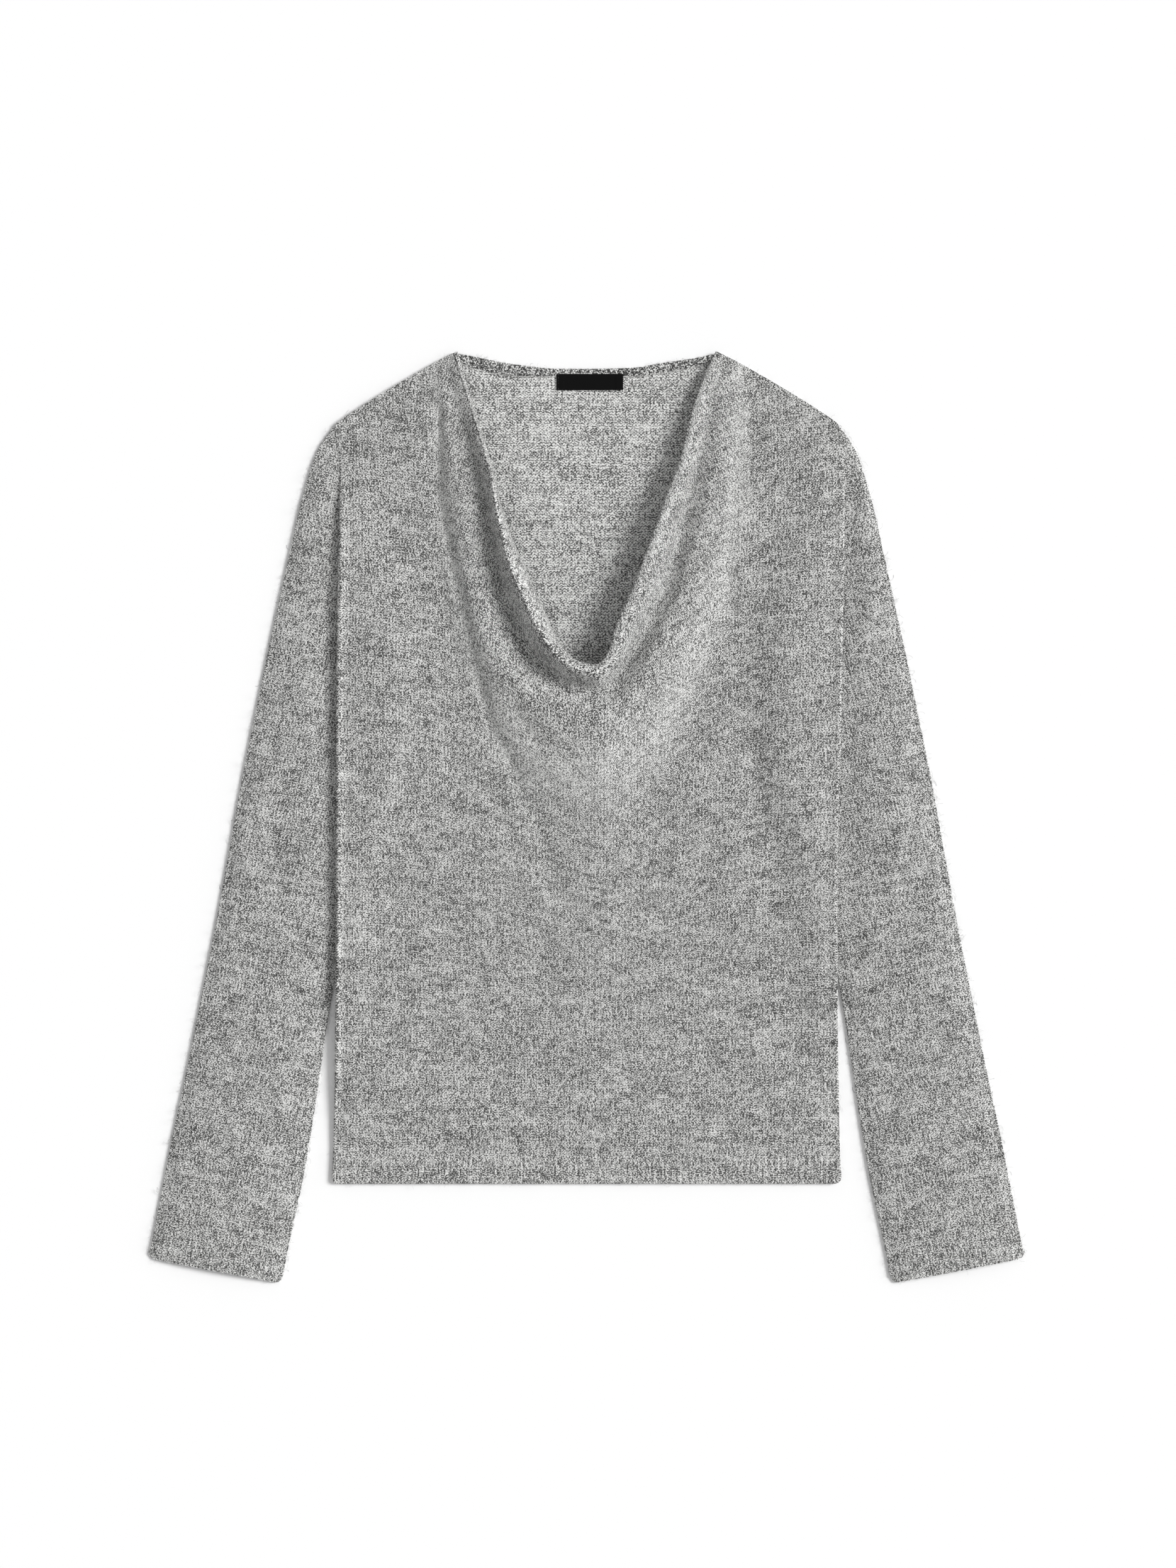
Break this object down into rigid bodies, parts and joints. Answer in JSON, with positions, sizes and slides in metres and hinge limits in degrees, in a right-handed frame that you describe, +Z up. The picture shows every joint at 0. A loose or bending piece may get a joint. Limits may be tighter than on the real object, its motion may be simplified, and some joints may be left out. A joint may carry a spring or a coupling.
{
  "type": "cowl neck sweater",
  "caption": "Fine brushed knit sweater laid flat, with a low draped cowl neck, straight body, long narrow sleeves and ribbed hem and cuffs.",
  "frame": {"origin": "on the surface that the sweater lies on, below the middle of its outline", "axes": "+X across the body to its right as it lies, +Y from the hem to the neck, +Z up from the surface"},
  "size_m": [0.6428, 0.6831, 0.0294],
  "materials": {
    "knit": "brushed melange knit, soft and matt",
    "turned_hem": "double knit hem, brushed and matt",
    "rib": "1 by 1 rib, brushed and matt",
    "label": "bare woven satin ribbon"
  },
  "bodies": {
    "root": {"front_panel": "knit", "cowl_hem": "turned_hem", "back_panel": "knit", "back_neck_band": "turned_hem", "hem_front": "rib", "hem_back": "rib", "sleeve_left": "knit", "cuff_left": "rib", "sleeve_right": "knit", "cuff_right": "rib", "neck_label": "label"}
  },
  "joints": []
}
